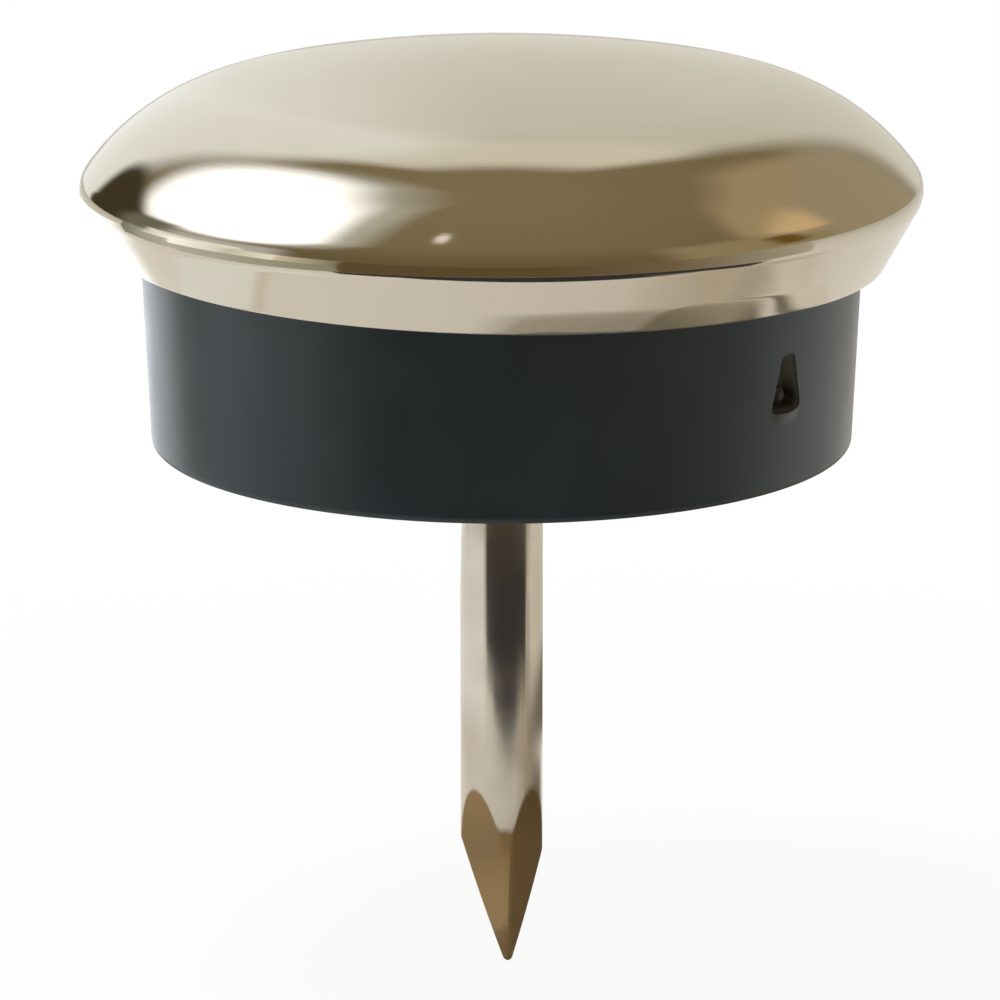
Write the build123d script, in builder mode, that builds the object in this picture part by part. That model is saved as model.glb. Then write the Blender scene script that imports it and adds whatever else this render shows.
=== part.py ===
from build123d import *
from math import asin, cos, degrees, radians, sin, sqrt, tan
import os

# Nail-on furniture glide: a drawn steel cap, crimped over a moulded plastic base that holds a nail.
# Heights run up from the underside of the base, which seats on the furniture leg, on the nail's axis.
# All sizes are in millimetres and degrees.

# Whole glide
cap_diameter = 22.0
cap_height = 10.3
base_height = 4.95
nail_length = 14.6

# Steel cap: one sheet, from the crown over the shoulder and round the rim fold to the tucked-in skirt
sheet = 0.55
crown_radius = 37.0
shoulder_radius = 6.0
shoulder_slope = 53.5
fold_radius = 0.75
skirt_tuck = 32.0

# Plastic base
base_draft = 2.4
foot_chamfer = 0.2
bore_lead = 0.3

# Gate scar in the wall of the base: a pocket that narrows upwards round the stub of the gate
gate_bearing = -39.5
gate_height = 2.85
gate_tall = 1.5
gate_wide = 1.3
gate_narrow = 0.5
gate_deep = 0.4
gate_round = 0.12
stub_diameter = 0.45
stub_drop = 0.35
stub_below_wall = 0.1

# Nail: flat head, thicker neck inside the base, plain shank, and a point pinched to four broad facets
# by two dies, which trim the ridges between them flat
nail_diameter = 2.2
neck_diameter = 2.6
neck_taper = 2.0
head_diameter = 5.6
head_thickness = 1.0
facet_length = 5.15
ridge_length = 4.05
pinch_bulge = 0.045
point_turn = 4.0
tip_width = 0.16
tip_offset = 0.17

# Clearances
lip_gap = 0.05
flange_gap = 0.2
dome_gap = 0.1
head_top_gap = 0.05
head_side_gap = 0.05

# Where the parts of the cap's section meet
slope = radians(shoulder_slope)
tuck = radians(skirt_tuck)
fold_x = cap_diameter / 2 - fold_radius
crown_slope = degrees(asin(
    (fold_x - (shoulder_radius - fold_radius) * sin(slope)) / (crown_radius - shoulder_radius)))
crown_centre_z = cap_height - crown_radius
fold_z = (crown_centre_z
          + (crown_radius - shoulder_radius) * cos(radians(crown_slope))
          + (shoulder_radius - fold_radius) * cos(slope))
skirt_length = (fold_z - fold_radius * sin(tuck) - base_height) / cos(tuck)
down_skirt = Vector(-sin(tuck), -cos(tuck))
skirt_normal = Vector(cos(tuck), -sin(tuck))
inner_fold = Vector(fold_x, fold_z) + skirt_normal * (fold_radius - sheet)
inner_lip = inner_fold + down_skirt * skirt_length

# The base: a drafted wall up to its neck inside the lip, a flange in the skirt, a plug under the crown
neck_x = inner_lip.X - lip_gap
neck_z = inner_lip.Y - lip_gap / tan(tuck)
foot_radius = neck_x - neck_z * tan(radians(base_draft))
flange_corner = inner_fold + down_skirt * flange_gap
plug_top_radius = (crown_radius - sheet - dome_gap) * sin(radians(crown_slope))
plug_top_z = crown_centre_z + (crown_radius - sheet - dome_gap) * cos(radians(crown_slope))

# The nail's head lies just under the crown
nail_radius = nail_diameter / 2
neck_radius = neck_diameter / 2
head_radius = head_diameter / 2
head_top = crown_centre_z + sqrt((crown_radius - sheet) ** 2 - head_radius ** 2) - head_top_gap
head_seat = head_top - head_thickness


def dome(depth):
    """Crown and shoulder as two tangent arcs, at a depth below the cap's outer skin."""
    crown = JernArc((0, cap_height - depth), (1, 0), crown_radius - depth, -crown_slope)
    shoulder = JernArc(crown @ 1, crown % 1, shoulder_radius - depth, crown_slope - shoulder_slope)
    return crown, shoulder


# Steel cap: the sheet's section turned about the nail's axis
with BuildPart() as steel_cap:
    with BuildSketch(Plane.XZ):
        with BuildLine():
            outer_crown, outer_shoulder = dome(0)
            fold_turn = shoulder_slope - 90 - skirt_tuck
            fold = JernArc(outer_shoulder @ 1, outer_shoulder % 1, fold_radius, fold_turn)
            skirt = Line(fold @ 1, fold @ 1 + down_skirt * skirt_length)
            inner_crown, inner_shoulder = dome(sheet)
            Polyline(skirt @ 1, inner_lip, inner_fold, inner_shoulder @ 1)
            Line(inner_crown @ 0, outer_crown @ 0)
        make_face()
    revolve(axis=Axis.Z)

# Plastic base: a drafted wall under a flange and a bevelled plug, with a pocket for the nail and its head
with BuildPart() as plastic_base:
    with BuildSketch(Plane.XZ):
        with BuildLine():
            Polyline((0, 0), (foot_radius, 0), (neck_x, neck_z), flange_corner,
                     (plug_top_radius, plug_top_z), (0, plug_top_z), close=True)
        make_face()
    revolve(axis=Axis.Z)
    chamfer(edges().filter_by(GeomType.CIRCLE).group_by(Axis.Z)[0], foot_chamfer)

    mouth_radius = nail_radius + (neck_radius - nail_radius) * bore_lead / neck_taper
    pocket_radius = head_radius + head_side_gap
    with BuildSketch(Plane.XZ):
        with BuildLine():
            Polyline((0, 0), (mouth_radius + bore_lead, 0), (mouth_radius, bore_lead),
                     (neck_radius, neck_taper), (neck_radius, head_seat), (pocket_radius, head_seat),
                     (pocket_radius, head_top), (0, head_top), close=True)
        make_face()
    revolve(axis=Axis.Z, mode=Mode.SUBTRACT)

    outward = Vector(cos(radians(gate_bearing)), sin(radians(gate_bearing)), 0)
    wall_radius = foot_radius + gate_height * tan(radians(base_draft))
    gate_floor = Plane(outward * (wall_radius - gate_deep) + Vector(0, 0, gate_height),
                       x_dir=outward.cross(Vector(0, 0, -1)), z_dir=outward)
    with BuildSketch(gate_floor):
        with BuildLine():
            Polyline((-gate_wide / 2, -gate_tall / 2), (gate_wide / 2, -gate_tall / 2),
                     (gate_narrow / 2, gate_tall / 2), (-gate_narrow / 2, gate_tall / 2), close=True)
        make_face()
        fillet(vertices(), gate_round)
    extrude(amount=2 * gate_deep, mode=Mode.SUBTRACT)
    with BuildSketch(gate_floor):
        with Locations((0, -stub_drop)):
            Circle(stub_diameter / 2)
    extrude(amount=gate_deep - stub_below_wall)

# Nail: a headed blank, pinched from all sides to a point a little off its axis
with BuildPart() as nail:
    with BuildSketch(Plane.XZ):
        with BuildLine():
            Polyline((0, -nail_length), (nail_radius, -nail_length), (nail_radius, 0),
                     (neck_radius, neck_taper), (neck_radius, head_seat), (head_radius, head_seat),
                     (head_radius, head_top), (0, head_top), close=True)
        make_face()
    revolve(axis=Axis.Z)

    facets = [(point_turn - 45 + side * 90, facet_length) for side in range(4)]
    ridges = [(point_turn - 90 + side * 180, ridge_length) for side in range(2)]
    for bearing, length in facets + ridges:
        tip_x = tip_width / 2 + tip_offset * cos(radians(bearing))
        with BuildSketch(Plane.XZ.rotated((0, 0, bearing))):
            with BuildLine():
                pinch_top = (nail_radius, length - nail_length)
                flank = SagittaArc((tip_x, -nail_length), pinch_top, -pinch_bulge)
                clear = Line(flank @ 1, flank @ 1 + (flank % 1) * length)
                Polyline(clear @ 1, ((clear @ 1).X, -2 * nail_length), (tip_x, -2 * nail_length), flank @ 0)
            make_face()
        extrude(amount=nail_diameter, both=True, mode=Mode.SUBTRACT)

os.makedirs("parts", exist_ok=True)
for name, piece in (("steel_cap", steel_cap), ("plastic_base", plastic_base), ("nail", nail)):
    piece.part.label = name
    export_step(piece.part, f"parts/{name}.step")
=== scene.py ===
from collections import namedtuple
from math import asin, atan2, cos, hypot, pi, radians, sin, sqrt, tan

import bmesh
import bpy
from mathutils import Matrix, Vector


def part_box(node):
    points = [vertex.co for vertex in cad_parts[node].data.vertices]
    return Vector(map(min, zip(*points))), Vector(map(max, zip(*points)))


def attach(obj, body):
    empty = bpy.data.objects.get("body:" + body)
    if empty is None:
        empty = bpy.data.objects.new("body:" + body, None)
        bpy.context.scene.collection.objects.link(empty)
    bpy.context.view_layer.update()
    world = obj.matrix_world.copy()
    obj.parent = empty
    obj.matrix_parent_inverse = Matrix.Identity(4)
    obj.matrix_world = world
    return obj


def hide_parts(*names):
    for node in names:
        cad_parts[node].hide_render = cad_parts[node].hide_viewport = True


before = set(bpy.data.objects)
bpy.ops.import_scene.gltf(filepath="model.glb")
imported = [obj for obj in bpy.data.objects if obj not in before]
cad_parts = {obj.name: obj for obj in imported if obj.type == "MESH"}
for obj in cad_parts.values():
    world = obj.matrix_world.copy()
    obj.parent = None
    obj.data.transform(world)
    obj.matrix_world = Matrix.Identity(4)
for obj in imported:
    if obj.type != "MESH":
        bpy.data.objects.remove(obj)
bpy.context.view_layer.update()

bl_info = {
    "name": "Furniture Glide",
    "version": (1, 0, 0),
    "blender": (4, 5, 0),
    "location": "View3D > Sidebar > Glide",
    "description": "Nail-on furniture glide: a crimped nickel cap on a moulded base, with a pinched nail",
    "category": "Add Mesh",
}

# All sizes are in metres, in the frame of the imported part: +Z from the nail's point to the cap
MM = 0.001
BODY = "root"


def measured(length):
    """A length read from the frame, freed of the last digits that its facets leave."""
    return round(length / MM, 2) * MM


CAP_LOW, CAP_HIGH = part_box("steel_cap")
NAIL_LOW, NAIL_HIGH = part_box("nail")


# Settings that a user would change


def length_value(name, description, default):
    """A length setting that shows in the scene's units."""
    return bpy.props.FloatProperty(
        name=name, description=description, default=default, unit="LENGTH", precision=6)


def angle_value(name, description, default):
    """An angle setting, given in degrees."""
    return bpy.props.FloatProperty(
        name=name, description=description, default=radians(default), subtype="ANGLE")


def colour_value(name, description, default):
    """A colour setting, in linear light."""
    return bpy.props.FloatVectorProperty(
        name=name, description=description, default=default, subtype="COLOR", size=3, min=0, max=1)


def share_value(name, description, default):
    """A setting from 0 to 1."""
    return bpy.props.FloatProperty(name=name, description=description, default=default, min=0, max=1)


class GlideCapSettings(bpy.types.PropertyGroup):
    """Section and finish of the drawn steel cap."""

    diameter: length_value("Diameter", "Across the rim fold", measured(CAP_HIGH.x - CAP_LOW.x))
    height: length_value("Height", "Top of the crown above the seat", measured(CAP_HIGH.z))
    lip_height: length_value("Lip Height", "Lower edge of the skirt above the seat", measured(CAP_LOW.z))
    sheet: length_value("Sheet", "Thickness of the steel", 0.55 * MM)
    crown_radius: length_value("Crown Radius", "Radius of the flat crown's arc", 37 * MM)
    shoulder_radius: length_value("Shoulder Radius", "Radius of the rounded shoulder's arc", 6 * MM)
    shoulder_slope: angle_value("Shoulder Slope", "Slope of the shoulder where it meets the rim fold", 53.5)
    fold_radius: length_value("Fold Radius", "Outer radius of the rim fold", 0.75 * MM)
    skirt_tuck: angle_value("Skirt Tuck", "Lean of the crimped skirt under the base's flange", 32)
    lip_round: length_value("Lip Round", "Rounding of the sheet's cut edge", 0.13 * MM)
    lip_roll: length_value("Lip Roll", "How far the crimping jaws rolled the lip's outer side in", 0.25 * MM)
    lip_band: length_value("Lip Band", "Height of the rolled band above the lip", 0.8 * MM)
    jaw_bearing: angle_value("Jaw Bearing", "Direction in which one of the three jaws pressed", -65)
    crimp_drop: length_value("Crimp Drop", "How much lower the lip hangs on its right side", 0.19 * MM)
    colour: colour_value("Nickel", "Colour of the polished nickel", (0.66, 0.61, 0.526))
    tarnish: colour_value("Tarnish", "Colour of the nickel where it is a little dulled", (0.60, 0.545, 0.44))
    polish: share_value("Roughness", "Roughness of the polished skin", 0.07)


class GlideBaseSettings(bpy.types.PropertyGroup):
    """Section, gate scar and finish of the moulded base."""

    draft: angle_value("Draft", "Taper of the outer wall", 2.4)
    foot_round: length_value("Foot Round", "Rounding of the lower edge", 0.2 * MM)
    lip_gap: length_value("Lip Gap", "Gap between the cap's lip and the wall", 0.05 * MM)
    flange_gap: length_value("Flange Gap", "Gap between the flange and the rim fold", 0.2 * MM)
    dome_gap: length_value("Dome Gap", "Gap between the plug and the crown", 0.1 * MM)
    bore_lead: length_value("Bore Lead", "Lead at the mouth of the nail's bore", 0.3 * MM)
    gate_bearing: angle_value("Gate Bearing", "Direction of the gate scar about the nail's axis", -39.5)
    gate_height: length_value("Gate Height", "Middle of the gate scar above the seat", 2.85 * MM)
    gate_tall: length_value("Gate Tall", "Height of the gate scar", 1.5 * MM)
    gate_wide: length_value("Gate Wide", "Width of the scar's foot", 1.3 * MM)
    gate_narrow: length_value("Gate Narrow", "Width of the scar's top", 0.5 * MM)
    gate_deep: length_value("Gate Deep", "Depth of the scar", 0.4 * MM)
    stub_diameter: length_value("Stub Diameter", "Diameter of the broken gate inside the scar", 0.45 * MM)
    stub_drop: length_value("Stub Drop", "Stub's place below the middle of the scar", 0.35 * MM)
    flash_proud: length_value("Flash", "How far the torn flash under the scar stands proud", 0.07 * MM)
    colour: colour_value("Plastic", "Colour of the dark plastic", (0.014, 0.027, 0.040))
    torn_colour: colour_value("Torn Plastic", "Colour of the plastic torn by the gate", (0.085, 0.080, 0.066))
    # Painted shade: the dark colour that stands for the shade deep in the lower part of the gate scar
    hollow_shade_colour: colour_value("Hollow", "Colour of the scar's deep foot", (0.012, 0.0115, 0.010))
    polish: share_value("Roughness", "Roughness of the moulded skin", 0.30)


class GlideNailSettings(bpy.types.PropertyGroup):
    """Sizes and finish of the nail."""

    length: length_value("Length", "Seat to the tip of the point", measured(-NAIL_LOW.z))
    head_top: length_value("Head Top", "Top of the head above the seat", NAIL_HIGH.z)
    diameter: length_value("Diameter", "Across the plain shank", 2.2 * MM)
    neck_diameter: length_value("Neck Diameter", "Across the neck, under the head", 2.6 * MM)
    neck_taper: length_value("Neck Taper", "Length over which the shank swells to the neck", 2.0 * MM)
    head_diameter: length_value("Head Diameter", "Across the head", measured(NAIL_HIGH.x - NAIL_LOW.x))
    head_thickness: length_value("Head Thickness", "Thickness of the head", 1.0 * MM)
    facet_length: length_value("Facet Length", "Length of the point's four broad facets", 5.15 * MM)
    ridge_length: length_value("Ridge Length", "Length of the two ridges that the dies trimmed", 4.05 * MM)
    pinch_bulge: length_value("Pinch Bulge", "Outward bow of each facet", 0.045 * MM)
    point_turn: angle_value("Point Turn", "Turn of the point's ridges about the axis", 4)
    tip_width: length_value("Tip Width", "Width left at the tip", 0.16 * MM)
    tip_offset: length_value("Tip Offset", "How far the tip stands off the axis", 0.17 * MM)
    tip_round: length_value("Tip Round", "Height of the tip's rounding", 0.1 * MM)
    ridge_round: length_value("Ridge Round", "Blend between two facets", 0.08 * MM)
    edge_round: length_value("Edge Round", "Blend between a facet and the shank", 0.02 * MM)
    colour: colour_value("Nickel", "Colour of the plated shank", (0.655, 0.612, 0.54))
    # Painted reflection: the facets' brown, dark colour stands for the brown, shaded surroundings they
    # mirror, on top of duller cut steel
    cut_reflection_colour: colour_value("Cut Steel", "Colour of the pinched facets", (0.33, 0.222, 0.11))
    polish: share_value("Roughness", "Roughness of the drawn shank", 0.13)


class GlideStageSettings(bpy.types.PropertyGroup):
    """Camera, floor and light round the glide."""

    elevation: angle_value("Camera Elevation", "Camera's height angle over the aim", 14.4)
    distance: length_value("Camera Distance", "Camera to aim", 140.6 * MM)
    aim_height: length_value("Aim Height", "Height of the camera's aim", -1.716 * MM)
    aim_side: length_value("Aim Side", "Side shift of the camera's aim", -0.041 * MM)
    lens: bpy.props.FloatProperty(name="Lens", description="Focal length in millimetres", default=190.8)
    floor_radius: length_value("Floor Radius", "Radius of the pale floor", 400 * MM)
    floor_colour: colour_value("Floor", "Colour of the floor", (0.92, 0.915, 0.905))
    shadow: share_value("Shadow", "Share of the floor's shade that the camera sees", 0.09)
    key_distance: length_value("Key Distance", "Key light to the seat", 205 * MM)
    key_tilt: angle_value("Key Tilt", "Key light's angle from straight above", 12)
    key_bearing: angle_value("Key Bearing", "Key light's direction about the nail's axis", 190)
    key_size: length_value("Key Size", "Diameter of the key light", 80 * MM)
    key_power: bpy.props.FloatProperty(
        name="Key Power", description="Power of the key light, in watts", default=0.18)


# Points and meshes

SAME_POINT = 1e-7
SHARP_ANGLE = radians(25)


def turns(count):
    """Evenly spaced turns round a circle."""
    return [2 * pi * step / count for step in range(count)]


def arc(centre, radius, start, end, steps):
    """Points of a section's arc, by the tilt of its normal from the vertical."""
    tilts = [start + (end - start) * step / steps for step in range(steps + 1)]
    return [Vector((centre.x + radius * sin(tilt), centre.y + radius * cos(tilt))) for tilt in tilts]


def straight(start, end, steps):
    """Evenly spaced points of a section's straight run."""
    return [start.lerp(end, step / steps) for step in range(steps + 1)]


def joined(*runs):
    """Runs of points as one line, without the points that two runs share."""
    line = []
    for point in (point for run in runs for point in run):
        if not line or (point - line[-1]).length > SAME_POINT:
            line.append(point)
    return line


def new_piece(name, mesh):
    """An object at the origin that holds a mesh."""
    piece = bpy.data.objects.new(name, mesh)
    bpy.context.scene.collection.objects.link(piece)
    return piece


def bake_modifiers(piece):
    """Replaces a piece's mesh by what its modifiers make, and removes them."""
    depsgraph = bpy.context.evaluated_depsgraph_get()
    mesh = bpy.data.meshes.new_from_object(piece.evaluated_get(depsgraph), depsgraph=depsgraph)
    mesh.name = piece.name
    piece.modifiers.clear()
    piece.data = mesh


def face_outwards(mesh):
    """Turns the faces of a closed mesh outwards."""
    shell = bmesh.new()
    shell.from_mesh(mesh)
    bmesh.ops.recalc_face_normals(shell, faces=shell.faces)
    shell.to_mesh(mesh)
    shell.free()


def hand_over(piece, node):
    """Lets a finished piece stand for its CAD node."""
    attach(piece, BODY)
    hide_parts(node)


# Node trees


def add_node(tree, kind, inputs=None, **settings):
    """A node with its settings made and its inputs set or linked."""
    node = tree.nodes.new(kind)
    for name, value in settings.items():
        setattr(node, name, value)
    for key, value in (inputs or {}).items():
        if isinstance(value, bpy.types.NodeSocket):
            tree.links.new(value, node.inputs[key])
        else:
            node.inputs[key].default_value = value
    return node


def math(tree, operation, *values):
    """The output of a Math node."""
    return add_node(tree, "ShaderNodeMath", dict(enumerate(values)), operation=operation).outputs[0]


def square_length(tree, first, second):
    """The distance that two lengths at right angles make."""
    squares = [math(tree, "MULTIPLY", length, length) for length in (first, second)]
    return math(tree, "SQRT", math(tree, "ADD", *squares))


def fit(tree, value, low, high, to_low=0.0, to_high=1.0, smooth=False):
    """The output of a clamped Map Range node."""
    kind = "SMOOTHSTEP" if smooth else "LINEAR"
    inputs = {"Value": value, "From Min": low, "From Max": high, "To Min": to_low, "To Max": to_high}
    return add_node(tree, "ShaderNodeMapRange", inputs, interpolation_type=kind).outputs["Result"]


def rgba(colour):
    """A colour with full alpha."""
    return (*colour, 1.0)


def mix_colour(tree, factor, first, second):
    """The colour output of a Mix node."""
    return add_node(tree, "ShaderNodeMix", {0: factor, 6: first, 7: second}, data_type="RGBA").outputs[2]


def new_group(name, kind, inputs, outputs):
    """A node group with named sockets, and its input and output nodes."""
    tree = bpy.data.node_groups.new(name, kind)
    for label, socket_type, default in inputs:
        socket = tree.interface.new_socket(label, in_out="INPUT", socket_type=socket_type)
        if default is not None:
            socket.default_value = default
    for label, socket_type in outputs:
        tree.interface.new_socket(label, in_out="OUTPUT", socket_type=socket_type)
    return tree, tree.nodes.new("NodeGroupInput"), tree.nodes.new("NodeGroupOutput")


def turned_section_tree():
    """Geometry Nodes: a section in the XZ plane, turned about the Z axis into one closed skin."""
    name = "Turned Section"
    if name in bpy.data.node_groups:
        return bpy.data.node_groups[name]
    tree, given, result = new_group(
        name, "GeometryNodeTree",
        [("Section", "NodeSocketGeometry", None), ("Segments", "NodeSocketInt", 256),
         ("Sharp Angle", "NodeSocketFloat", radians(30)), ("Weld", "NodeSocketFloat", 1e-6),
         ("Material", "NodeSocketMaterial", None)],
        [("Skin", "NodeSocketGeometry")])
    section, segments = given.outputs["Section"], given.outputs["Segments"]
    columns = add_node(tree, "GeometryNodeAttributeDomainSize", {0: section}).outputs["Point Count"]
    rows = math(tree, "ADD", segments, 1.0)
    grid = add_node(tree, "GeometryNodeMeshGrid", {"Vertices X": columns, "Vertices Y": rows})
    index = add_node(tree, "GeometryNodeInputIndex").outputs[0]
    column = math(tree, "FLOOR", math(tree, "DIVIDE", index, rows))
    row = math(tree, "SUBTRACT", index, math(tree, "MULTIPLY", column, rows))
    turn = math(tree, "MULTIPLY", math(tree, "DIVIDE", row, segments), 2 * pi)
    place = add_node(tree, "GeometryNodeInputPosition").outputs[0]
    sample = add_node(
        tree, "GeometryNodeSampleIndex", {"Geometry": section, "Value": place, "Index": column},
        data_type="FLOAT_VECTOR", domain="POINT")
    point = add_node(tree, "ShaderNodeSeparateXYZ", {0: sample.outputs[0]})
    swung = add_node(tree, "ShaderNodeCombineXYZ", {
        0: math(tree, "MULTIPLY", point.outputs[0], math(tree, "COSINE", turn)),
        1: math(tree, "MULTIPLY", point.outputs[0], math(tree, "SINE", turn)),
        2: point.outputs[2]})
    wrapped = add_node(
        tree, "GeometryNodeSetPosition", {"Geometry": grid.outputs[0], "Position": swung.outputs[0]})
    welded = add_node(
        tree, "GeometryNodeMergeByDistance",
        {"Geometry": wrapped.outputs[0], "Distance": given.outputs["Weld"]})
    smooth = add_node(tree, "GeometryNodeSetShadeSmooth", {"Geometry": welded.outputs[0]})
    edge_angle = add_node(tree, "GeometryNodeInputMeshEdgeAngle").outputs["Unsigned Angle"]
    creased = math(tree, "GREATER_THAN", edge_angle, given.outputs["Sharp Angle"])
    sharp = add_node(
        tree, "GeometryNodeSetShadeSmooth",
        {"Geometry": smooth.outputs[0], "Selection": creased, "Shade Smooth": False}, domain="EDGE")
    realized = add_node(tree, "GeometryNodeRealizeInstances", {0: sharp.outputs[0]})
    painted = add_node(
        tree, "GeometryNodeSetMaterial",
        {"Geometry": realized.outputs[0], "Material": given.outputs["Material"]})
    tree.links.new(painted.outputs[0], result.inputs["Skin"])
    return tree


def turn_section(name, section, segments, material):
    """A piece turned from the points of its section, each a radius and a height."""
    mesh = bpy.data.meshes.new(name)
    mesh.from_pydata([(p.x, 0, p.y) for p in section], [(i, i + 1) for i in range(len(section) - 1)], [])
    piece = new_piece(name, mesh)
    tree = turned_section_tree()
    sockets = {item.name: item.identifier for item in tree.interface.items_tree if item.in_out == "INPUT"}
    modifier = piece.modifiers.new("Turned Section", "NODES")
    modifier.node_group = tree
    modifier[sockets["Segments"]] = segments
    modifier[sockets["Material"]] = material
    bake_modifiers(piece)
    piece.data.materials.clear()
    piece.data.materials.append(material)
    face_outwards(piece.data)
    return piece


# Finishes

# How fine the marks are, in noise cells over a metre, or over a radian for the lines round the cap
CAP_SMUDGES = 260.0
NAIL_SMUDGES = 700.0
BASE_MOTTLE = 420.0
BASE_GRAIN = 500.0
LINES_ACROSS = 9000.0
LINES_ALONG = 220.0
LINES_ROUND = 3.0

# How high the lines stand, and how strongly each finish shows them
LINE_DEPTH = 0.02 * MM
CAP_LINES = 0.025
NAIL_LINES = 0.05
BASE_LINES = 0.04

# Shares of the set roughness where a finish is clean and where it is smudged
CAP_SHEEN = (0.8, 1.35)
NAIL_SHEEN = (0.8, 1.5)
BASE_SHEEN = (0.9, 1.2)

# How far the smudges, the cut, the tear and the painted shade at the foot change the finishes
CAP_TARNISH = 0.45
NAIL_WEAR = 0.25
CUT_ROUGHNESS = 0.12
MOTTLE_GAIN = 1.3
TORN_ROUGHNESS = 0.25
# The painted shade at the foot: the roughness it adds, and how far it darkens the colour towards black at the
# lowest point
FOOT_SHADE_ROUGHNESS = 0.5
FOOT_SHADE = 0.75

# Where the torn finish and the painted shade deep in the scar set in: heights over the foot, depths from the
# wall, and heights about the middle of the scar
ABOVE_FOOT = (0.3 * MM, 0.6 * MM)
TORN_DEPTH = (0.01 * MM, 0.1 * MM)
HOLLOW_SHADE_DEPTH = (0.05 * MM, 0.15 * MM)
HOLLOW_SHADE_LOW, HOLLOW_SHADE_HIGH = -0.3 * MM, 0.15 * MM


def surface_marks_group():
    """Shader group: soft smudges and fine drawn lines, used by every finish of the glide."""
    name = "Surface Marks"
    if name in bpy.data.node_groups:
        return bpy.data.node_groups[name]
    tree, given, result = new_group(
        name, "ShaderNodeTree",
        [("Vector", "NodeSocketVector", None), ("Smudge Scale", "NodeSocketFloat", 300.0),
         ("Line Vector", "NodeSocketVector", None), ("Line Scale", "NodeSocketFloat", 1.0)],
        [("Smudge", "NodeSocketFloat"), ("Lines", "NodeSocketFloat")])
    smudge = add_node(
        tree, "ShaderNodeTexNoise",
        {"Vector": given.outputs["Vector"], "Scale": given.outputs["Smudge Scale"], "Detail": 1.5,
         "Roughness": 0.5})
    lines = add_node(
        tree, "ShaderNodeTexNoise",
        {"Vector": given.outputs["Line Vector"], "Scale": given.outputs["Line Scale"], "Detail": 3.0,
         "Roughness": 0.65})
    tree.links.new(fit(tree, smudge.outputs[0], 0.25, 0.75), result.inputs["Smudge"])
    tree.links.new(lines.outputs[0], result.inputs["Lines"])
    return tree


def new_material(name):
    """An empty node material with its Principled BSDF."""
    material = bpy.data.materials.new(name)
    material.use_nodes = True
    return material, material.node_tree, material.node_tree.nodes["Principled BSDF"]


def object_place(tree):
    """A point's place in its piece."""
    return add_node(tree, "ShaderNodeTexCoord").outputs["Object"]


def marks_node(tree, place, smudge_scale, line_vector, line_scale):
    """The surface marks placed in a material."""
    inputs = {
        "Vector": place, "Smudge Scale": smudge_scale, "Line Vector": line_vector, "Line Scale": line_scale}
    return add_node(tree, "ShaderNodeGroup", inputs, node_tree=surface_marks_group())


def by_smudge(tree, marks, clean, smudged):
    """A value that goes from a clean one to a smudged one with the surface marks."""
    return fit(tree, marks.outputs["Smudge"], 0.0, 1.0, clean, smudged)


def raise_lines(tree, marks, strength, skin):
    """Raises the fine lines of the surface marks as a bump on a finish."""
    bump = add_node(
        tree, "ShaderNodeBump",
        {"Strength": strength, "Distance": LINE_DEPTH, "Height": marks.outputs["Lines"]})
    tree.links.new(bump.outputs[0], skin.inputs["Normal"])


def cap_nickel(cap):
    """Polished nickel with faint smudges, and buffing lines that run round the cap."""
    material, tree, skin = new_material("cap_nickel")
    place = object_place(tree)
    axes = add_node(tree, "ShaderNodeSeparateXYZ", {0: place})
    turn = math(tree, "ARCTAN2", axes.outputs[1], axes.outputs[0])
    across = square_length(tree, *axes.outputs[:2])
    rings = add_node(tree, "ShaderNodeCombineXYZ", {
        0: math(tree, "MULTIPLY", across, LINES_ACROSS),
        1: math(tree, "MULTIPLY", turn, LINES_ROUND),
        2: math(tree, "MULTIPLY", axes.outputs[2], LINES_ACROSS)})
    marks = marks_node(tree, place, CAP_SMUDGES, rings.outputs[0], 1.0)
    dulled = by_smudge(tree, marks, 0.0, CAP_TARNISH)
    tree.links.new(mix_colour(tree, dulled, rgba(cap.colour), rgba(cap.tarnish)), skin.inputs["Base Color"])
    skin.inputs["Metallic"].default_value = 1.0
    rough = by_smudge(tree, marks, *(cap.polish * share for share in CAP_SHEEN))
    tree.links.new(rough, skin.inputs["Roughness"])
    raise_lines(tree, marks, CAP_LINES, skin)
    return material


def nail_nickel(nail):
    """Plated wire with drawn lines along the shank, and duller cut steel on the pinched facets, whose brown,
    dark colour is a painted reflection of brown, shaded surroundings.
    """
    material, tree, skin = new_material("nail_nickel")
    place = object_place(tree)
    along = (LINES_ACROSS, LINES_ACROSS, LINES_ALONG)
    drawn = add_node(tree, "ShaderNodeMapping", {"Vector": place, "Scale": along})
    marks = marks_node(tree, place, NAIL_SMUDGES, drawn.outputs[0], 1.0)
    cut = add_node(tree, "ShaderNodeAttribute", attribute_name="cut").outputs["Fac"]
    # Painted reflection: smudges lean towards, and the pinched facets fully take, the brown colour of
    # mirrored surroundings
    worn = by_smudge(tree, marks, 0.0, NAIL_WEAR)
    plated = mix_colour(tree, worn, rgba(nail.colour), rgba(nail.cut_reflection_colour))
    tree.links.new(mix_colour(tree, cut, plated, rgba(nail.cut_reflection_colour)), skin.inputs["Base Color"])
    skin.inputs["Metallic"].default_value = 1.0
    polished = by_smudge(tree, marks, *(nail.polish * share for share in NAIL_SHEEN))
    dulled = math(tree, "MULTIPLY", cut, CUT_ROUGHNESS)
    tree.links.new(math(tree, "ADD", polished, dulled), skin.inputs["Roughness"])
    raise_lines(tree, marks, NAIL_LINES, skin)
    return material


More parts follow.
